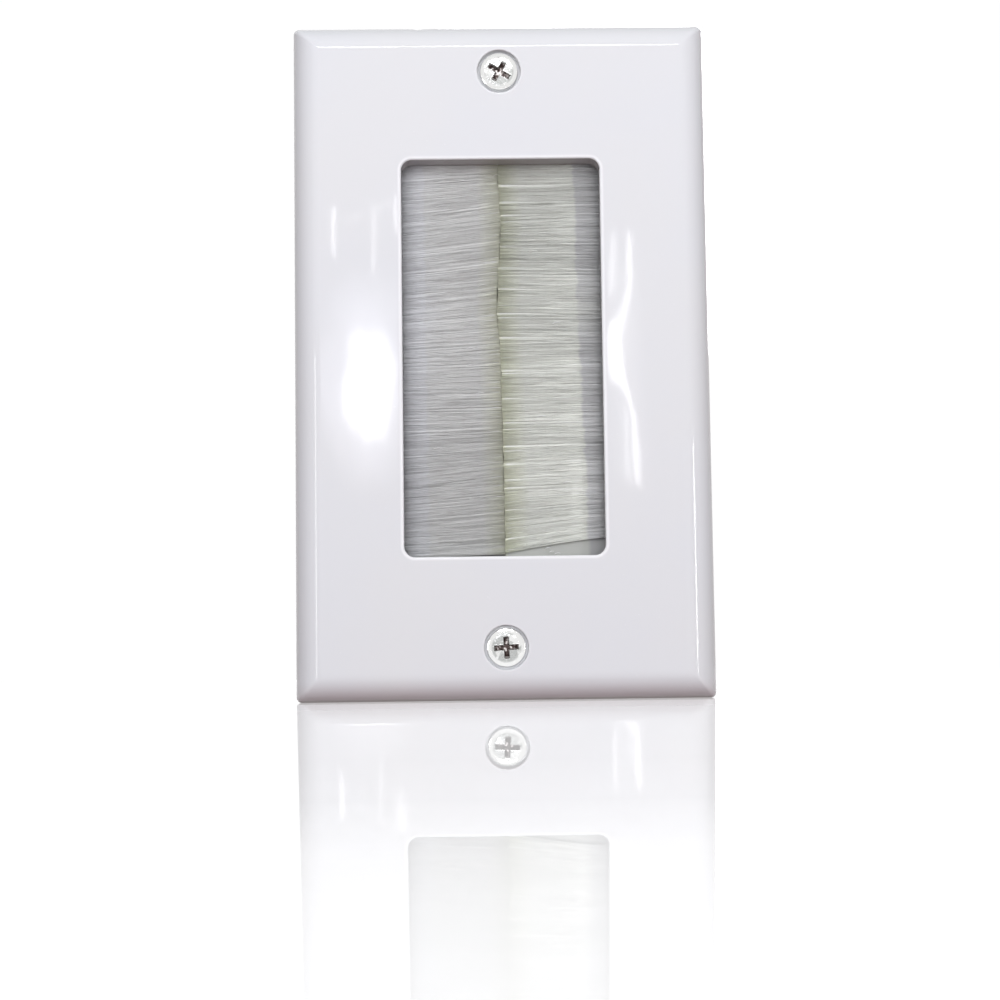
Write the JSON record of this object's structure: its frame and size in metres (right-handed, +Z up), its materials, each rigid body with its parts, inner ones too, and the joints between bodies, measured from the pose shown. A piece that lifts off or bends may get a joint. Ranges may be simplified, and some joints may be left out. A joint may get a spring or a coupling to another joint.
{
  "type": "brush wall plate",
  "caption": "Wall plate with a bevelled edge and a tall window that facing curtains of bristles close, so that cables pass through a wall without a bare hole.",
  "frame": {"origin": "middle of the plate's outline, on the plane of the wall that its rim rests on", "axes": "+X to the right seen from the room, +Z up, +Y into the wall, so the front faces -Y"},
  "size_m": [0.0698, 0.0296, 0.1142],
  "materials": {
    "white_gloss": "polished moulded white",
    "white_matt": "plain moulded white",
    "grey_matt": "plain moulded grey",
    "nickel": "bright nickel plate",
    "brass": "turned",
    "zinc_screw": "bright zinc plate",
    "fibre": "pressed fibre sheet",
    "galvanised": "galvanised strip",
    "wire": "drawn wire",
    "nylon": "translucent combed filaments"
  },
  "bodies": {
    "root": {"cover_plate": "white_gloss", "brush_yoke": "white_matt", "rear_retainer": "grey_matt", "upper_cover_screw": "nickel", "lower_cover_screw": "nickel", "upper_thread_insert": "brass", "lower_thread_insert": "brass", "upper_box_screw": "zinc_screw", "lower_box_screw": "zinc_screw", "upper_screw_washer": "fibre", "lower_screw_washer": "fibre", "upper_left_retainer_screw": "zinc_screw", "upper_right_retainer_screw": "zinc_screw", "lower_left_retainer_screw": "zinc_screw", "lower_right_retainer_screw": "zinc_screw", "left_brush_channel": "galvanised", "right_brush_channel": "galvanised", "left_core_wire": "wire", "right_core_wire": "wire", "left_bristles": "nylon", "right_bristles": "nylon"}
  },
  "joints": []
}
